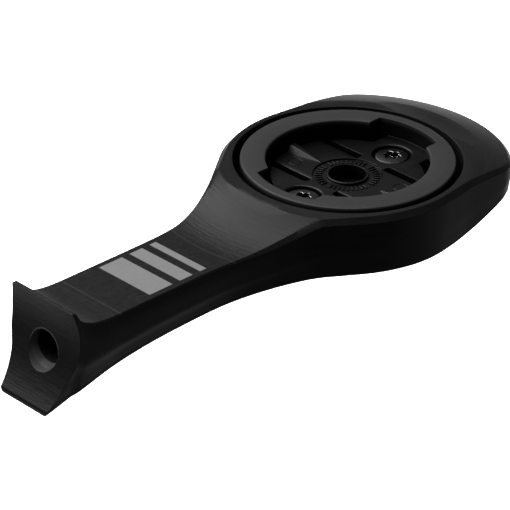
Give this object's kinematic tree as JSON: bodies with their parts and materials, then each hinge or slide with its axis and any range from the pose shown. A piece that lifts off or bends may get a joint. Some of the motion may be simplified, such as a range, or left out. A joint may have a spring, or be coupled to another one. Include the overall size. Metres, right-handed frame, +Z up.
{
  "type": "out-front computer mount",
  "caption": "Machined arm that bolts to a handlebar clamp and carries a bicycle computer ahead of it in a quarter-turn socket.",
  "frame": {"origin": "mouth of the bolt hole in the saddle face at the rear end", "axes": "+X forward along the arm to the front tip, +Y left, +Z up out of the socket"},
  "size_m": [0.0953, 0.0402, 0.0166],
  "materials": {
    "anodised_aluminium": "black anodised, fine machining marks",
    "moulded_plastic": "glass-filled, satin",
    "black_steel": "black oxide, worn edges"
  },
  "bodies": {
    "mount": {"mount_arm": "anodised_aluminium", "quarter_turn_insert": "moulded_plastic", "insert_screw_front": "black_steel", "insert_screw_rear": "black_steel"},
    "finger_left": {"detent_finger_left": "moulded_plastic"},
    "finger_right": {"detent_finger_right": "moulded_plastic"}
  },
  "joints": [
    {"name": "finger_left_flex", "type": "hinge", "parent": "mount", "child": "finger_left", "pos_m": [0.06349, 0.0031, 0.00525], "axis": [-1, 0, 0], "range_deg": [0, 4], "stiffness_Nm_per_rad": 0.6},
    {"name": "finger_right_flex", "type": "hinge", "parent": "mount", "child": "finger_right", "pos_m": [0.06349, -0.0031, 0.00525], "axis": [1, 0, 0], "range_deg": [0, 4], "stiffness_Nm_per_rad": 0.6}
  ]
}
